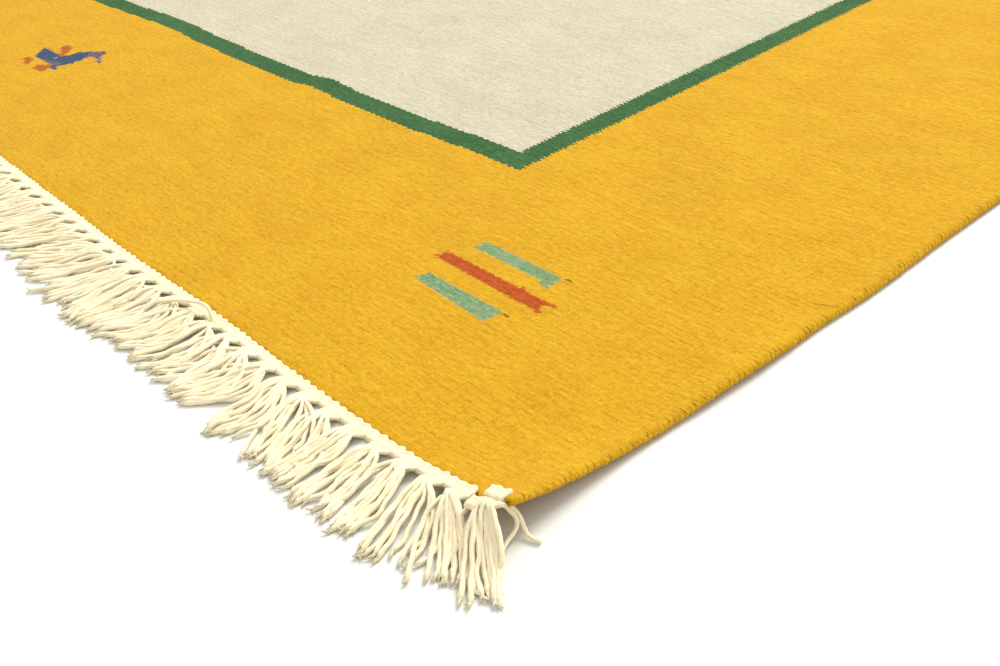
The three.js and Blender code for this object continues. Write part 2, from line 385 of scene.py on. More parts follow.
def guard_masks(tree, x, row):
    """Masks of the green line and of the cream field: past both edges of a toothed rectangle."""
    side = maths(tree, "SUBTRACT", WIDTH / 2, maths(tree, "ABSOLUTE", x))
    end = maths(tree, "SUBTRACT", LENGTH / 2, maths(tree, "ABSOLUTE", times(tree, row, PICK)))
    end = maths(tree, "SUBTRACT", end, guard_wander(tree, x))
    masks = []
    for number, name in enumerate(("green", "cream")):
        turn = maths(tree, "FLOORED_MODULO", maths(tree, "ADD", row, number), 2)
        shake = cell_noise(tree, number, row, 3.7)
        teeth = maths(tree, "ADD", turn, times(tree, shake, TOOTH["shake"]))
        toothed = maths(tree, "MULTIPLY_ADD", teeth, 2 * TOOTH["reach"], side)
        middle = GUARD["side"][number] + (1 + TOOTH["shake"]) * TOOTH["reach"]
        past_side = maths(tree, "GREATER_THAN", toothed, middle)
        past_end = maths(tree, "GREATER_THAN", end, GUARD["end"][number])
        masks.append((name, times(tree, past_side, past_end)))
    return masks


def motif_masks(tree, fuzz):
    """Each motif dye shows where its cover, shifted by fibres, is over a half."""
    middle = 0.5 + FUZZ["reach"] / 2
    masks = []
    for name in MOTIF_DYES:
        cover = add(tree, "ShaderNodeAttribute", attribute_name=name).outputs["Fac"]
        shaken = maths(tree, "MULTIPLY_ADD", fuzz, FUZZ["reach"], cover)
        mask = ranged(tree, shaken, middle - FUZZ["soft"], middle + FUZZ["soft"], 0, 1)
        masks.append((name, mask))
    return masks


def laid_over(tree, masks, number):
    """Yellow's main colour (0), fleck (1) or share (2), with the other dyes' laid over it."""
    kind = "FLOAT" if number == 2 else "RGBA"
    entry = {name: dye[2] if number == 2 else linear(dye[number]) for name, dye in DYES.items()}
    result = entry["yellow"]
    for name, mask in masks:
        result = mixed(tree, mask, result, entry[name], kind=kind)
    return result


# %% [markdown]
# The first attempt at wool is often a flat colour with a bump. What makes it read as wool is the
# unevenness at three sizes: each bead a little lighter or darker, each row of weft its own shade
# along its length, and slow clouds where the dye took differently. The shade between the beads is
# painted into the colour: light that gets down there meets the dye twice, so this painted shade is
# not grey but a deeper, warmer tint of the dye.

# %% Weft-faced wool material
TIGHT_WEFT = mm(end=226, reach=44, half=2.4)
SLANT = 0.28
WOOL_SHEEN = 0.03
# Noise that shades the wool: width and height of its blots (mm), detail, darkest, lightest
SHADES = [(60, 3, 3, 0.975, 1.025), (4, 3, 2, 0.94, 1.06), (90, 90, 2, 0.98, 1.02)]
# Noise that raises the wool in felted lumps, rows pulled tight and slow ridges: width and height
# of its blots (mm), detail, depth (mm)
RELIEF = [(3.6, 3.1, 2, 0.65), (16, 2.6, 2, 0.75), (60, 16, 1, 0.8)]


def turn_gaps(tree, turns, wide):
    """Gaps between turns of yarn, 1 in the middle and 0 `wide` turns off; also their numbers."""
    gap = ranged(tree, maths(tree, "PINGPONG", turns, 0.5), 0, wide, 1, 0)
    return gap, maths(tree, "FLOOR", maths(tree, "ADD", turns, 0.5))


def edge_notches(tree, x, y):
    """Depth, 0 to 1, of notches between the turns of yarn wrapping both sides; a bump and painted
    shade.
    """
    side = maths(tree, "SUBTRACT", WIDTH / 2, maths(tree, "ABSOLUTE", x))
    near = ranged(tree, side, 0, 6 * MM, 0.9, 0)
    notch, number = turn_gaps(tree, maths(tree, "DIVIDE", y, 2 * PICK), 0.17)
    deepness = maths(tree, "POWER", cell_noise(tree, number, 1, 160), 1.8)
    return times(tree, near, notch, deepness)


def tight_weft(tree, x, y):
    """Depth, 0 to 1, of a tight weft's slanting crease from the right side; a bump and painted
    shade.
    """
    side = maths(tree, "SUBTRACT", WIDTH / 2, x)
    end = maths(tree, "ADD", LENGTH / 2, y)
    middle = maths(tree, "MULTIPLY_ADD", side, -SLANT, TIGHT_WEFT["end"])
    off = maths(tree, "ABSOLUTE", maths(tree, "SUBTRACT", end, middle))
    across = ranged(tree, off, 0, TIGHT_WEFT["half"], 0.7, 0)
    inward = ranged(tree, side, 0, TIGHT_WEFT["reach"], 1, 0)
    broken = ranged(tree, stretched_noise(tree, x, y, 9, 9, 1), 0.38, 0.6, 0, 1)
    return times(tree, across, inward, broken)


def uneven_dye(tree, masks, x, y, column, row, height, hair, notch):
    """Flecked dye times bead, hair, row and cloud shades; painted shade: gaps are the dye times
    itself.
    """
    slub = stretched_noise(tree, x, y, 6, 1.6, 1)
    chance = maths(tree, "MULTIPLY_ADD", slub, 1.3, cell_noise(tree, column, row, 40))
    common = maths(tree, "ADD", laid_over(tree, masks, 2), 0.55)
    flecked = maths(tree, "LESS_THAN", chance, common)
    warm = ranged(tree, stretched_noise(tree, x, y, 45, 30, 2), 0.3, 0.7, 0.05, 0.27)
    fibre = ranged(tree, hair, 0.42, 0.66, 0, 0.45)
    share = maths(tree, "MULTIPLY_ADD", flecked, 0.28, maths(tree, "ADD", warm, fibre))
    colour = mixed(tree, share, laid_over(tree, masks, 0), laid_over(tree, masks, 1))
    bead = ranged(tree, cell_noise(tree, column, row, 0), 0, 1, 0.95, 1.04)
    shade = times(tree, bead, ranged(tree, hair, 0.25, 0.75, 0.95, 1.05))
    for wide, high, detail, darkest, lightest in SHADES:
        noise = stretched_noise(tree, x, y, wide, high, detail)
        shade = times(tree, shade, ranged(tree, noise, 0.25, 0.75, darkest, lightest))
    # Painted shade in the low gaps between beads, stronger in a random few; also in notches and
    # crease
    low = ranged(tree, height, 0, 0.4, 1, 0)
    rare = maths(tree, "POWER", cell_noise(tree, column, row, 80), 4)
    gap = times(tree, low, maths(tree, "MULTIPLY_ADD", rare, 0.7, 0.08))
    return painted_recess_shade(tree, shaded(tree, colour, shade), maths(tree, "MAXIMUM", gap, notch))


def wool_relief(tree, x, y, column, row, height, hair, notch):
    """Height: uneven beads, less the notches, plus hairs and the noises of RELIEF."""
    size = ranged(tree, cell_noise(tree, column, row, 120), 0, 1, 0.02 * MM, 0.13 * MM)
    total = maths(tree, "MULTIPLY_ADD", notch, -1.2 * MM, times(tree, height, size))
    total = maths(tree, "MULTIPLY_ADD", hair, 0.14 * MM, total)
    for wide, high, detail, depth in RELIEF:
        noise = stretched_noise(tree, x, y, wide, high, detail)
        total = maths(tree, "MULTIPLY_ADD", noise, depth * MM, total)
    return total


def weft_faced_wool():
    """Dyed wool cloth with the rug's pattern, its UV map holding metres on the flat rug."""
    material, tree = matt_surface("weft_faced_wool", WOOL_SHEEN)
    x, y = wandering_place(tree)
    column, row, height = weave_lattice(tree, x, y)
    hair = stretched_noise(tree, x, y, 1.5, 0.7, 2)
    # The notches and the crease are a bump and painted shade in the colour
    notch = maths(tree, "MAXIMUM", edge_notches(tree, x, y), tight_weft(tree, x, y))
    masks = guard_masks(tree, x, row) + motif_masks(tree, hair)
    colour = uneven_dye(tree, masks, x, y, column, row, height, hair, notch)
    relief = wool_relief(tree, x, y, column, row, height, hair, notch)
    colour_and_bump(tree, colour, relief)
    return material


wool = weft_faced_wool()
print("wool nodes:", len(wool.node_tree.nodes))

# %% [markdown]
# The motifs are charted as a weaver charts them, on squared paper: one letter for one warp by two
# rows of weft, read from the end of the rug. A bar only needs its two ends and its rows. The bird
# is a small drawn chart. Each row of weft may turn back half a warp early or late, and every other
# warp stands a little further from the end, which gives woven shapes toothed edges.

# %% The motifs' charts
# A bar: dye, first and last distance from the side, first and last distance from the end, how far
# its first edge drops on the way to the side (mm), how many half warps its ends are ragged by
BARS = [
    ("teal", 137, 207, 100.8, 110.4, 3.6, 1),
    ("red", 124.5, 216, 124.4, 133.2, 1.6, 1),
    ("red", 119, 127, 131, 133.6, 0, 1),
    ("red", 120.5, 128, 121.8, 124.6, 0, 1),
    ("red", 214, 219.5, 131.6, 134, 0, 1),
    ("red", 214, 218.5, 124.6, 127, 0, 1),
    ("red", 146.5, 152, 132, 135.2, 0, 1),
    ("teal", 138.6, 206.5, 146.4, 155.8, 0, 1),
    ("teal", 138.2, 145, 142.8, 147.5, 0, 1),
    ("dark", 131, 137, 155.4, 157.4, 0, 0),
    ("dark", 131, 137, 108.2, 110.2, 0, 0),
]
LETTERS = {"B": "blue", "V": "violet", "O": "orange", "P": "pale"}
BIRD = [
    "....................BBB......",
    "...................VVVB......",
    ".................BVVVVVV.....",
    "................BBBVVVVVVV...",
    "......OOOO.....BBBBBV.....VVV",
    "......OOOOO....BBBBBB........",
    ".......OOOOO...BBBBBB........",
    ".........OOOO..BBBBBBB.......",
    "...........OOOBBBBBBB........",
    "..BBBBBBBBBBBBBBBBBBBB.......",
    "...BBBBBBBBBBPBBBBBBB........",
    "....BBBBBBBBBBBBBBBBB........",
    ".....BBBBBBBBBBBVVVB.........",
    "......BBBBBVVBVVVBBB.........",
    "................OOBBBB.......",
    ".....OOOO......OOOO..........",
    ".....OOOOO....OOOOOO.........",
    "........OOO....OOOOO.........",
]
BIRD_MIDDLE_END = 131.6 * MM
BIRD_SQUARE = 2 * PICK
# How far up and down neighbouring warps are charted
STEP = 0.15 * PICK
# Keeps a place right between two warps from falling to either side by chance
NUDGE = 1e-6


def ragged(rows, seed, reach):
    """A whole number of half warps, from -reach to reach, drawn once for each row of weft."""
    draws = np.random.default_rng(seed).integers(-reach, reach + 1, 4096)
    return draws[np.abs(rows) % len(draws)] * WARP / 2


def chart_at(x, y, end):
    """Letter of the bird's chart at each place, '.' outside the chart."""
    chart = np.array([list(line) for line in BIRD])
    high, wide = chart.shape
    facing = np.where(y < 0, x, -x)
    over = np.floor(facing / WARP + wide / 2 + NUDGE).astype(int)
    down = np.floor(high / 2 - (end - BIRD_MIDDLE_END) / BIRD_SQUARE).astype(int)
    on = (over >= 0) & (over < wide) & (down >= 0) & (down < high)
    return np.where(on, chart[down.clip(0, high - 1), over.clip(0, wide - 1)], ".")


def dye_covers(x, y):
    """Each motif dye's cover, from 0 to 1, of the places x, y on the flat rug."""
    every_other = np.floor(np.abs(x) / WARP + NUDGE) % 2
    side, end = WIDTH / 2 - np.abs(x), LENGTH / 2 - np.abs(y)
    rows = np.round(end / PICK).astype(int)
    stepped = end + (2 * every_other - 1) * STEP
    covers = {name: np.zeros(x.shape) for name in MOTIF_DYES}

    def past(distance, step):
        """0 well before an edge, 1 well past it, half on it, within one step."""
        return np.clip(distance / step + 0.5, 0, 1)

    for number, (name, low, high, first, last, drop, reach) in enumerate(BARS):
        left = low * MM + ragged(rows, 2 * number, reach)
        right = high * MM + ragged(rows, 2 * number + 1, reach)
        lower = first * MM - drop * MM * (high * MM - side) / ((high - low) * MM)
        cover = past(side - left, WARP / 2) * past(right - side, WARP / 2)
        cover = cover * past(stepped - lower, 1.5 * PICK) * past(last * MM - stepped, 1.5 * PICK)
        covers[name] = np.maximum(covers[name], cover)
    letters = chart_at(x, y, stepped)
    for letter, name in LETTERS.items():
        covers[name][letters == letter] = 1
    return covers


print("bird chart:", len(BIRD[0]), "warps by", len(BIRD), "squares high")

# %% [markdown]
# The cloth is one closed sheet on a grid. Its lines are close where a motif is woven, a half warp
# apart, and where the corner curls, and wide elsewhere, so that all its detail costs few faces.
# Each of its points then carries, for each motif dye, how far that dye covers it. The cloth
# thickens softly towards its wrapped edges, and where the end band has come away, a small tongue of
# wool shows. The underside has the same pattern, as a kilim's does.

# %% The cloth
RIM = mm(reach=17, rise=1.2)
RIM_LINES = np.array([0.9, 1.4, 2.2, 3.4, 5, 8, 11, 14, 17]) * MM
RIM_ROUND = mm(wide=3.2, high=2.9, tuck=2.6)
END_ROUND = mm(wide=4, high=0.7, under=0.3)
TONGUE = mm(along=17.5, half=9, out=5, reach=9)
# The grid: its widest step, its step where the corner curls, and lines closer than this are merged
GRID = mm(wide=30, curl=6, merge=0.35)
# How far the curl is close-meshed; and where the motifs lie: bars from the side, half the bird's
# width, and both from the end
FINE = mm(curl_side=108, curl_end=114, bars=(222, 116), bird=54, motif_ends=(95, 167))


def spaced(start, stop, step):
    """Evenly spaced lines from start to stop, no further apart than step."""
    return np.linspace(start, stop, int(np.ceil(abs(stop - start) / step)) + 1)


def grid_lines(reach, fine_spans, curl_reach, rims):
    """Lines from -reach to reach: wide ones, with fine spans, the curl and the rims put in."""
    wide = spaced(-reach, reach, GRID["wide"])
    for low, high, step in fine_spans:
        wide = wide[(wide < low - step) | (wide > high + step)]
        wide = np.concatenate([wide, np.arange(low, high + step / 2, step)])
    curl = spaced(reach - curl_reach, reach, GRID["curl"])[:-1]
    kept = np.unique(np.round(np.concatenate([wide, curl, rims, -rims]), 7))
    close = np.flatnonzero(np.diff(kept) < GRID["merge"])
    return np.delete(kept, close[close > 0])


def cloth_grid():
    """Across lines snap to half warps over the motifs, along lines to rows of weft."""
    half = WARP / 2
    bars = [np.round((WIDTH / 2 - edge) / half) * half for edge in FINE["bars"]]
    bird = np.round(FINE["bird"] / half) * half
    spans = [(bars[0], bars[1], half), (-bars[1], -bars[0], half), (-bird, bird, half)]
    rims = WIDTH / 2 - RIM_LINES
    across = grid_lines(WIDTH / 2 - EDGE_IN, spans, FINE["curl_side"], rims)
    first, last = (LENGTH / 2 - np.round(edge / PICK) * PICK for edge in FINE["motif_ends"])
    spans = [(last, first, PICK), (-first, -last, PICK)]
    ends = LENGTH / 2 - np.array([2, 4]) * MM
    along = -grid_lines(LENGTH / 2, spans, FINE["curl_end"], ends)[::-1]
    return across, along


def two_faced(columns, rows):
    """Faces of a closed sheet over a grid: upper, lower and the wall around them."""
    index = np.arange(columns * rows).reshape(rows, columns)
    a, b, c, d = index[:-1, :-1], index[:-1, 1:], index[1:, 1:], index[1:, :-1]
    upper = np.stack([a, b, c, d], axis=-1).reshape(-1, 4)
    lower = upper[:, ::-1] + index.size
    rim = np.concatenate([index[0, :-1], index[:-1, -1], index[-1, :0:-1], index[:0:-1, 0]])
    after = np.roll(rim, -1)
    wall = np.stack([rim + index.size, after + index.size, after, rim], axis=-1)
    return np.concatenate([upper, lower, wall])


def build_cloth():
    """Upper face: thickness, plus the rim's swelling, less the roundings at sides and ends."""
    x, y = np.meshgrid(*cloth_grid())
    near_end = 1 - np.clip((LENGTH / 2 - np.abs(y)) / END_ROUND["wide"], 0, 1)
    inset = WIDTH / 2 - EDGE_IN - np.abs(x)
    rim = RIM["rise"] * swell(inset, RIM["reach"])
    near_side = np.clip(1 - inset / RIM_ROUND["wide"], 0, 1)
    fall = RIM_ROUND["high"] * (1 - np.sqrt(1 - near_side ** 2))
    top = CLOTH + rim - fall - END_ROUND["high"] * near_end ** 2
    under = END_ROUND["under"] * near_end ** 2
    tucked = x - np.sign(x) * RIM_ROUND["tuck"] * near_side
    points = np.stack([lie(x, y, top), lie(tucked, y, under)])
    tongue = TONGUE["out"] * swell(WIDTH / 2 - x - TONGUE["along"], TONGUE["half"])
    points[..., 1] -= tongue * np.clip(1 - (y + LENGTH / 2) / TONGUE["reach"], 0, 1)
    faces = two_faced(x.shape[1], x.shape[0])
    flat = np.stack([x, y], axis=-1).reshape(-1, 2)
    corner_uv = np.concatenate([flat, flat])[faces]
    piece = make_piece("weft_faced_cloth", points, faces.tolist(), corner_uv, wool)
    for name, cover in dye_covers(x, y).items():
        layer = piece.data.attributes.new(name, "FLOAT", "POINT")
        layer.data.foreach_set("value", np.tile(cover.ravel(), 2))
    return piece


cloth = build_cloth()
dress(cloth, "woven_ground")

# %% [markdown]
# At each side the wefts wrap the outermost warps, which makes a firm rounded edge. From above the
# cloth just curves down, with small notches that are in its material, a bump and painted shade;
# from the side one sees a row of small turns of yarn, no two alike. A tube carried along under the
# rim does it, its girth swelling and shrinking once for each turn, with painted shade in some gaps
# between turns, and the turns slant a little as wound yarn does.

# %% The wrapped selvedges
SELVEDGE = {"turn": 2 * PICK, "swell": 0.28, "sides": 12,
            **mm(half_width=3.9, half_height=2.5, round_end=4)}


def tube_faces(rings, sides, tubes):
    """Quads around each tube, their corners' turn from 0 to 1, and both end caps."""
    ring, side = np.meshgrid(np.arange(rings - 1), np.arange(sides), indexing="ij")
    after = (side + 1) % sides
    quad = np.stack([ring * sides + side, ring * sides + after,
                     (ring + 1) * sides + after, (ring + 1) * sides + side], axis=-1)
    turn = np.stack([side, side + 1, side + 1, side], axis=-1) / sides
    start = (np.arange(tubes) * rings * sides)[:, None, None]
    quads = (quad.reshape(1, -1, 4) + start).reshape(-1, 4)
    first = np.arange(sides)[::-1] + start[:, 0]
    last = np.arange(sides) + (rings - 1) * sides + start[:, 0]
    return quads, np.tile(turn.reshape(-1, 4), (tubes, 1)), np.concatenate([first, last])


def tube_piece(name, groups, material):
    """Join groups of tubes, each with (tubes, rings, sides, 3) points, and metres along them."""
    start, quads, turns, caps, reach = 0, [], [], [], []
    for points, along in groups:
        tubes, rings, sides, _ = points.shape
        quad, turn, cap = tube_faces(rings, sides, tubes)
        quads.append(quad + start)
        turns.append(turn)
        caps.append(cap + start)
        reach.append(np.broadcast_to(along[..., None], points.shape[:3]).ravel())
        start += tubes * rings * sides
    quads, turns, caps, reach = map(np.concatenate, (quads, turns, caps, reach))
    quad_uv = np.stack([turns, reach[quads]], axis=-1).reshape(-1, 2)
    cap_uv = np.stack([np.full(caps.shape, 0.25), reach[caps]], axis=-1).reshape(-1, 2)
    points = np.concatenate([points.reshape(-1, 3) for points, _ in groups])
    return make_piece(name, points, quads.tolist() + caps.tolist(),
                      np.concatenate([quad_uv, cap_uv]), material)


def selvedge(side, seed):
    """An ellipse around the edge, its radii times 1 - swell + swell |sin(pi t)|^0.6, t in turns."""
    draw = np.random.default_rng(seed)
    along = spaced(-LENGTH / 2, LENGTH / 2, SELVEDGE["turn"] / 6)
    angle = np.arange(SELVEDGE["sides"]) * 2 * np.pi / SELVEDGE["sides"]
    y, around = np.meshgrid(along, angle, indexing="ij")
    count = int(LENGTH / SELVEDGE["turn"]) + 4
    knots = (np.arange(count) - count / 2) * SELVEDGE["turn"]
    jitter = np.interp(y, knots, draw.uniform(-0.3, 0.3, count))
    size = np.interp(y, knots, draw.uniform(0.93, 1.04, count))
    turns = y / SELVEDGE["turn"] + 0.15 * np.cos(around) + jitter
    bulge = np.abs(np.sin(np.pi * turns)) ** 0.6
    girth = size * (1 - SELVEDGE["swell"] + SELVEDGE["swell"] * bulge)
    past = np.clip(1 - (LENGTH / 2 - np.abs(y)) / SELVEDGE["round_end"], 0, 0.97)
    girth = girth * np.sqrt(1 - past ** 2)
    x = side * (WIDTH / 2 - SELVEDGE["half_width"])
    x = x + SELVEDGE["half_width"] * girth * np.cos(around)
    height = SELVEDGE["half_height"] * (1.03 - girth * np.sin(around))
    name = "selvedge_right" if side > 0 else "selvedge_left"
    points = lie(x, y, np.maximum(height, 0.02 * MM))
    return tube_piece(name, [(points[None], along[None])], wrapped_wool)


def wrapped_wool_yarn():
    """Yellow wool wound round the edge; warm painted shade in the gaps between turns, deep in some.
    """
    material, tree = matt_surface("wrapped_wool_yarn", WOOL_SHEEN)
    lump = solid_noise(tree, 260, 2)
    turns = maths(tree, "DIVIDE", yarn_place(tree)[1], SELVEDGE["turn"])
    # Painted shade in the gaps between turns, deep in a random few
    gap, number = turn_gaps(tree, maths(tree, "MULTIPLY_ADD", lump, 0.9, turns), 0.2)
    chance = add(tree, "ShaderNodeTexWhiteNoise", {"W": number}, noise_dimensions="1D").outputs[0]
    gap = times(tree, gap, maths(tree, "POWER", chance, 2.5))
    main, fleck = (linear(colour) for colour in DYES["yellow"][:2])
    colour = mixed(tree, times(tree, lump, 0.6), main, fleck)
    hair = times(tree, solid_noise(tree, 900, 2), 0.25 * MM)
    relief = maths(tree, "MULTIPLY_ADD", lump, 0.9 * MM, hair)
    colour_and_bump(tree, painted_recess_shade(tree, colour, gap), relief)
    return material


wrapped_wool = wrapped_wool_yarn()
selvedges = [selvedge(1, 21), selvedge(-1, 22)]
for piece in selvedges:
    dress(piece, "woven_ground")

# %% [markdown]
# The fringe is the warps themselves: undyed cotton, loosely plied, about 2.5 mm thick. Cream cotton
# is much paler and smoother than the wool, and its plies show as faint slanting grooves, a bump with
# a faint painted shade. They follow the yarn, so they are drawn in the yarn's own UV: turns around
# it, metres along.

# %% Plied cotton material
PLY_PITCH = 16 * MM
COTTON = {"shade": "#ECDCB0", "light": "#F6EACC", "sheen": 0.1}


def plied_cotton(name, grooves, depth):
    """Cream cotton; `grooves` slanting grooves to a turn, `depth` deep, with faint painted shade in
    them.
    """
    material, tree = matt_surface(name, COTTON["sheen"])
    around, along = yarn_place(tree)
    climb = maths(tree, "DIVIDE", along, PLY_PITCH)
    phase = maths(tree, "MULTIPLY_ADD", around, grooves, climb)
    ridge = ranged(tree, maths(tree, "PINGPONG", phase, 0.5), 0, 0.3, 0, 1,
                   interpolation_type="SMOOTHSTEP")
    cloud = solid_noise(tree, 60, 2)
    colour = mixed(tree, cloud, linear(COTTON["shade"]), linear(COTTON["light"]))
    # Painted shade: the colour is 5% darker in the grooves
    colour = shaded(tree, colour, ranged(tree, ridge, 0, 1, 0.95, 1))
    fine = times(tree, solid_noise(tree, 900, 3), 0.3 * MM)
    colour_and_bump(tree, colour, maths(tree, "MULTIPLY_ADD", ridge, depth, fine))
    return material


cotton = plied_cotton("plied_cotton_warp", 3, 0.15 * MM)
twined_cotton = plied_cotton("twined_cotton_band", 0, 0.05 * MM)

# %% [markdown]
# Past the last row of wool a few rows of thick cotton are twined across the warps to lock them. It
# makes a flat cream band whose inner edge is toothed, a tooth for every two warps. The band is a
# section carried along the end: its top is raised by faint slanting stitches, and its inner edge
# moves in and out with the teeth. In the near right corner it is broken: the last piece sits
# further in, and the next hangs outwards as a loose knot.

# %% The twined end bands
BAND = mm(out=5.8, height=3.4, tooth=1.6, stitch=0.2, outer_stitch=0.5, over_wool=0.5)
TOOTH_PITCH = 2 * WARP
# Stretches of band along each end: from, to, how far inwards it sits and how far up (mm)
STRETCHES = {"near": [(6, 18.5, 3.6, 2), (13, 20, -6.2, 2), (24.5, 1594.5, 0, 0)],
             "far": [(5.5, 1594.5, 0, 0)]}
# The band's section: share of its width, share of its height, share of the stitches' height
SECTION = np.array([(0, 0.3, 0), (0, 0.85, 0), (0.1, 1, 0.6), (0.24, 1, 1), (0.38, 1, 0.3),
                    (0.52, 1, 1), (0.66, 1, 0.3), (0.8, 0.95, 1), (0.92, 0.82, 0.6), (1, 0.55, 0),
                    (1, 0.15, 0), (0.5, 0.05, 0)])


def end_place(edge, along, out, height):
    """A place in an end finish: `along` from the corner on its right, `out` from the wool."""
    turn = 1 if edge == "near" else -1
    along, out, height = np.broadcast_arrays(along, out, height)
    held = lie(turn * (WIDTH / 2 - along), np.full(along.shape, -turn * LENGTH / 2), height)
    return held - np.stack([0 * along, turn * out, 0 * along], axis=-1)


def band_stretch(edge, start, stop, inwards, raised, draw):
    """Section points: toothed inner edge, a stitched top in three rows, and a flat underside."""
    share, level, rows = SECTION.T
    stations = spaced(start * MM, stop * MM, WARP / 4)
    along, part = np.meshgrid(stations, share, indexing="ij")
    teeth = spaced(0, WIDTH, TOOTH_PITCH)
    uneven = np.interp(stations, teeth, draw.uniform(0.3, 1.1, len(teeth)))[:, None]
    tooth = 0.5 + 0.5 * np.cos(2 * np.pi * along / TOOTH_PITCH)
    slant = np.abs(np.sin(np.pi * (along / TOOTH_PITCH + 1.2 * part)))
    inner = -BAND["tooth"] * tooth * uneven - inwards * MM
    outer = BAND["out"] - inwards * MM - BAND["outer_stitch"] * slant * uneven
    out = inner + part * (outer - inner)
    height = BAND["height"] * level + BAND["stitch"] * rows * slant + raised * MM
    climb = np.clip(1 - part * 3.5, 0, 1) * (level > 0.5)
    height = height + (CLOTH + BAND["over_wool"] - BAND["height"]) * climb
    points = end_place(edge, along, out, height)
    return points[None, :, ::-1], along[None, :, 0]


def band(edge):
    """All stretches of one end's band, joined into one piece."""
    draw = np.random.default_rng(5)
    made = [band_stretch(edge, *row, draw) for row in STRETCHES[edge]]
    return tube_piece(f"end_band_{edge}", made, twined_cotton)


bands = {edge: band(edge) for edge in ("near", "far")}
for edge, piece in bands.items():
    dress(piece, f"fringe_{edge}")

# %% [markdown]
# The warps leave the band side by side, are squeezed into a bundle where they are knotted and then
# fan out. Each yarn is a tube along a path of its own: a straight gather from the band to the neck
# of the bundle, then a free part that rises a little, leans, fans, bows sideways and wavers while
# it sinks to the floor. All the yarns of an end are worked out together, as one array. Neighbouring
# tassels lean alike, as they were brushed by the same foot or hand, so the lean changes evenly
# between a few places along the end. Where the photograph shows the fringe, they follow it.

# %% The yarns' paths
YARN = mm(radius=1.25, length=(39, 47), fan=(8, 11.5), waver=1.9, crimp=0.4, layer=1.3)
PER_TASSEL = 2 * PAIRS
NECK = mm(out=10, half=4, height=3.1)
ROOT = mm(out=4.6, half=6.4, height=1.6)
# The first tassel is pulled in beneath the broken band
PULLED = 3.4 * MM
RINGS = {"gather": 2, "free": 15}
# Distance of each tassel's middle from the corner, as an array of (tassels, 1, 1)
MIDDLES = ((np.arange(TASSELS) + 0.5) * PAIRS * WARP)[:, None, None]
# Lean of the tips towards the corner from which `along` counts, sideways bow, longer by (mm)
LEANS = [(0, 33, 1, -5), (12, 32, 1, -5), (31, 26, 2, -1), (52, 12, 1, 0), (75, 11, 1, 0),
         (95, 4, 1, 0), (115, 2, 2, 0), (135, 12, 2, 0), (156, 20, 2, 0), (177, 3, 4, 0),
         (198, -8, 7, 0), (240, -6, 8, 0), (281, -12, 8, 0), (302, -14, 6, 2), (322, -10, 3, 3),
         (343, -8, 1, 5), (364, -18, 1, 7), (385, -30, 1, 8), (406, -37, 1, 8), (448, -30, 1, 8),
         (510, -22, 1, 5), (620, -14, 3, 0), (840, 6, 2, 0), (1000, 12, 1, 0),
         (1250, -10, 2, 0), (1600, 8, 1, 0)]


def tassel_habits(draw):
    """Lean, bow and extra length at each tassel, from the table; leans vary by 3 mm."""
    at, lean, bow, longer = np.array(LEANS).T * MM
    shaken = np.interp(MIDDLES, at, lean) + draw.normal(0, 3 * MM, MIDDLES.shape)
    return shaken, np.interp(MIDDLES, at, bow), np.interp(MIDDLES, at, longer)


def gathers(edge, order, layer, pulled):
    """From band to neck: width in step with g from 0 to 1, height with g to the 0.7."""
    g = np.linspace(0, 1, RINGS["gather"] + 1)[None, None, :-1]
    along = MIDDLES - (ROOT["half"] * order * (1 - g) + NECK["half"] * order * g)
    out = ROOT["out"] + (NECK["out"] - ROOT["out"]) * g - pulled
    height = ROOT["height"] + (NECK["height"] + layer - ROOT["height"]) * g ** 0.7
    return end_place(edge, along, out, height)


def yarn_paths(edge, seed):
    """Centre lines of an end's yarns, as (tassels, yarns, rings, 3) points."""
    draw = np.random.default_rng(seed)
    lean, bow, longer = tassel_habits(draw)
    order = np.linspace(-1, 1, PER_TASSEL)[None, :, None]
    shape = (TASSELS, PER_TASSEL, 1)
    mix = order + draw.normal(0, 0.35, shape)
    fan = draw.uniform(*YARN["fan"], shape)
    length = draw.uniform(*YARN["length"], shape) + longer
    t = np.linspace(0, 1, RINGS["free"])[None, None]
    first = (np.arange(TASSELS) == 0) & (edge == "near")
    pulled = np.where(first, PULLED, 0)[:, None, None]

    turns, phase = draw.uniform(0.5, 1.6, shape), draw.uniform(0, 1, shape)
    waver = draw.normal(0, YARN["waver"], shape) * np.sin(2 * np.pi * (turns * t + phase))
    crimp = YARN["crimp"] * np.sin(2 * np.pi * (3.3 * t + 3 * phase)) * np.minimum(4 * t, 1)
    start = NECK["half"] * order
    tip = np.clip(lean + fan * mix, -0.85 * length, 0.85 * length)
    spread = 1 - (1 - t) ** draw.uniform(3.5, 9, shape)
    sideways = (start + (fan * mix - start) * spread + (tip - fan * mix) * t ** 1.2
                + bow * (mix + 0.8) * np.sin(np.pi * t) + waver * t ** 0.8 + crimp)
    along = MIDDLES - sideways
    out = NECK["out"] + np.sqrt(length ** 2 - tip ** 2) * t - pulled * (1 - t)

    layer = (np.arange(PER_TASSEL) % 2)[None, :, None] * YARN["layer"]
    layer = layer + draw.uniform(0, 0.9, shape) * MM
    touch = draw.uniform(0.5, 1.0, shape)
    arch = draw.uniform(0.8, 3.4, shape)
    sink = np.clip(t / touch, 0, 1)
    hang = (1 - sink) ** 1.5 * (1 + arch * sink)
    rest = draw.uniform(0, 1.8, shape) * MM * np.sin(np.pi * np.clip(t, 0, 0.999)) ** 0.5
    neck = NECK["height"] + layer - YARN["radius"]
    free = end_place(edge, along, out, YARN["radius"] + np.maximum(neck * hang, rest))
    if edge == "near":
        lifted = lift(WIDTH / 2 - MIDDLES, -LENGTH / 2)
        free[..., 2] += lifted * (1 - t) ** 1.7 - lift(WIDTH / 2 - along, -LENGTH / 2)
    return np.concatenate([gathers(edge, order, layer, pulled), free], axis=2)


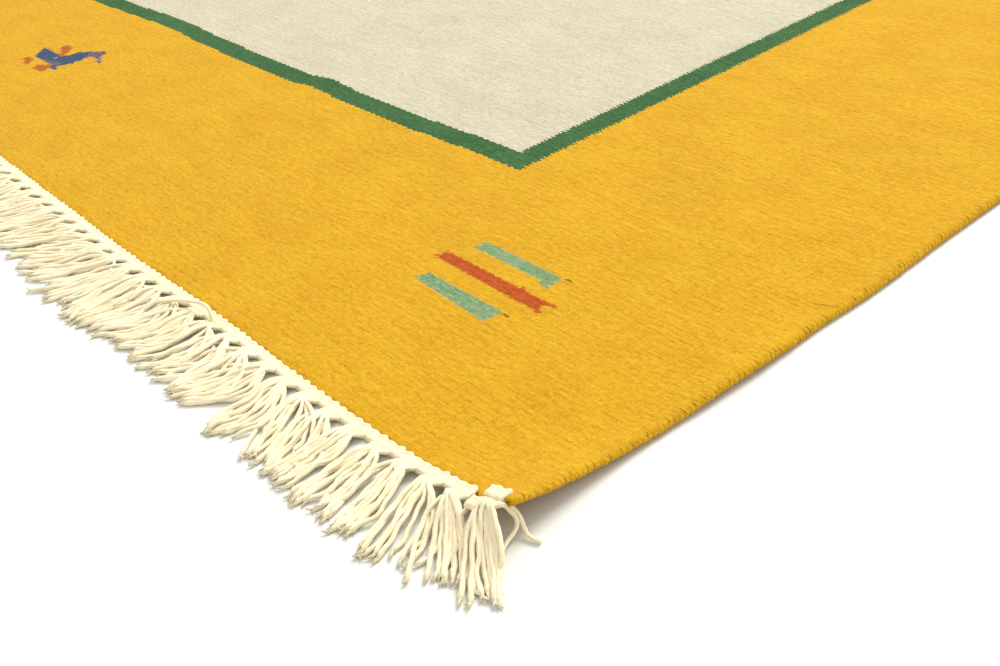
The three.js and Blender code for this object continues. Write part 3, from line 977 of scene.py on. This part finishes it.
def tubes_along(paths, radius, sides):
    """Rings around each path, in the directions tangent x up and across x tangent; metres along."""
    tangent = np.gradient(paths, axis=-2)
    tangent /= np.linalg.norm(tangent, axis=-1, keepdims=True)
    across = np.cross(tangent, [0.0, 0.0, 1.0])
    across /= np.linalg.norm(across, axis=-1, keepdims=True)
    over = np.cross(across, tangent)
    angle = (np.arange(sides) * 2 * np.pi / sides)[:, None]
    ring = np.cos(angle) * across[..., None, :] + np.sin(angle) * over[..., None, :]
    points = paths[..., None, :] + radius * ring
    steps = np.linalg.norm(np.diff(paths, axis=-2), axis=-1)
    zero = np.zeros((*steps.shape[:-1], 1))
    along = np.concatenate([zero, np.cumsum(steps, axis=-1)], axis=-1)
    points[..., 2] = np.maximum(points[..., 2], 0.1 * MM)
    return points, along


# The plies of a frayed tip: how far they lean and bend sideways for their length, how high they
# end, and their radius at four places
FRAY = {"plies": 3, "lean": 0.35, "bend": 0.5,
        **mm(length=(3, 5.5), level=(0.9, 2.2), radius=(0.9, 0.9, 0.75, 0.45))}


def yarns(edge, paths, draw):
    """The yarns of one end as one piece, six-sided, each a little loose before its tip."""
    radius = YARN["radius"] * draw.uniform(0.88, 1.12, (*paths.shape[:2], 1, 1))
    radius[:, -2] *= 1.15
    radius[:, -1] *= 0.6
    return tube_piece(f"warp_yarns_{edge}", [tubes_along(paths, radius, 6)], cotton)


def frayed_tips(edge, paths, draw):
    """Thin plies past each yarn's end: s ahead, and (lean + bend s) s sideways, s from 0 to 1."""
    ahead = paths[:, -1] - paths[:, -2]
    ahead[:, 2] = 0
    ahead /= np.linalg.norm(ahead, axis=-1, keepdims=True)
    aside = np.cross(ahead, [0.0, 0.0, 1.0])[:, None, None]
    shape = (len(paths), FRAY["plies"], 1, 1)
    s = np.linspace(0, 1, 4)[None, None, :, None]
    length = draw.uniform(*FRAY["length"], shape)
    lean, bend = (draw.uniform(-FRAY[way], FRAY[way], shape) for way in ("lean", "bend"))
    start = paths[:, None, -2:-1] + 0.3 * (paths[:, -1] - paths[:, -2])[:, None, None]
    plies = start + length * s * (ahead[:, None, None] + (lean + bend * s) * s * aside)
    level = draw.uniform(*FRAY["level"], shape[:3])
    plies[..., 2] = plies[..., 2] * (1 - s[..., 0]) + level * s[..., 0]
    plies = plies.reshape(-1, 4, 3)
    radius = FRAY["radius"][None, :, None, None]
    return tube_piece(f"frayed_tips_{edge}", [tubes_along(plies, radius, 3)], cotton)


for edge, seed in (("near", 11), ("far", 12)):
    paths = yarn_paths(edge, seed)
    paths = paths.reshape(-1, *paths.shape[-2:])
    draw = np.random.default_rng(seed + 100)
    for piece in (yarns(edge, paths, draw), frayed_tips(edge, paths, draw)):
        dress(piece, f"fringe_{edge}")

# %% [markdown]
# A few yarns lie astray, so each of them has a path of its own: a smooth line through a few places
# read from the photograph, made by cutting its corners again and again.

# %% The stray yarns
# Places of each stray yarn: along, out, height (mm)
STRAYS = [
    [(8, 0, 19), (5.5, -1.2, 15.5), (2, -4, 9), (-1, -3.2, 4), (-4.5, -2, 2), (-10.6, -4, 1.4)],
    [(9, 1, 19), (5, 0.5, 15), (1.5, -2, 9), (0, 0, 5), (-1, 8, 2.4), (-8, 20, 1.4)],
    [(14, 9, 12), (15, 14, 10), (12, 20, 6), (10, 27, 3), (10, 34, 1.6), (6, 42, 1.4)],
    [(20, 9, 12), (20, 14, 10), (21, 20, 6), (20, 27, 3), (17, 34, 1.6), (18, 42, 1.4)],
    [(262, 6, 3), (262, 5, 8), (268, 3, 11), (280, 5, 10), (296, 12, 8), (312, 22, 4)],
]


def stray_yarns():
    """A curve through the middles of each row's places, by three rounds of corner cutting."""
    paths = np.array(STRAYS) * MM
    for _ in range(3):
        before, after = paths[:, :-1], paths[:, 1:]
        cut = np.stack([0.75 * before + 0.25 * after, 0.25 * before + 0.75 * after], axis=2)
        cut = cut.reshape(len(paths), -1, 3)
        paths = np.concatenate([paths[:, :1], cut[:, 1:-1], paths[:, -1:]], axis=1)
    placed = np.stack([WIDTH / 2 - paths[..., 0], -LENGTH / 2 - paths[..., 1], paths[..., 2]], -1)
    made = tubes_along(placed, YARN["radius"] * 0.9, 6)
    return tube_piece("stray_yarns_near", [made], cotton)


strays = stray_yarns()
dress(strays, "fringe_near")

# %% [markdown]
# Soft daylight comes from high beyond the rug, so shadows are short. The floor is pale and so well
# lit that it goes to white, as in the photograph. It keeps only the shadow that hugs the rug, which
# is olive where the floor and the yellow wool tint the little light that gets there.

# %% Floor and light
FLOOR_HALF = 6.0
FLOOR_COLOUR = (0.74, 0.74, 0.69, 1)
DAYLIGHT = 0.93


def pale_floor():
    """A wide, flat, matt floor, not part of the rug."""
    material, tree = matt_surface("pale_painted_floor", sheen=0, rough=0.9, shine=0.5)
    tree.nodes["Principled BSDF"].inputs["Base Color"].default_value = FLOOR_COLOUR
    corners = np.array([(-1, -1, 0), (1, -1, 0), (1, 1, 0), (-1, 1, 0)]) * FLOOR_HALF
    floor = make_piece("floor", corners, [(0, 1, 2, 3)], corners[:, :2], material)
    return floor


def soft_light(name, place, target, size, power):
    """A square area light at a place, its -Z axis turned towards the target."""
    data = bpy.data.lights.new(name, "AREA")
    data.size = size
    data.energy = power
    back = np.subtract(place, target)
    back = back / np.linalg.norm(back)
    right = np.cross([0, 0, 1], back)
    right /= np.linalg.norm(right)
    put(bpy.data.objects.new(name, data), place, (right, np.cross(back, right), back))


floor = pale_floor()
soft_light("window", place=(-0.5, 4.6, 5.6), target=(0.6, -0.9, 0), size=4.4, power=680)
world = bpy.data.worlds.new("daylight")
world.use_nodes = True
sky = world.node_tree.nodes["Background"].inputs
sky["Color"].default_value = (1, 1, 1, 1)
sky["Strength"].default_value = DAYLIGHT
bpy.context.scene.world = world
bpy.context.scene.view_settings.view_transform = "Standard"
print("floor and light set")
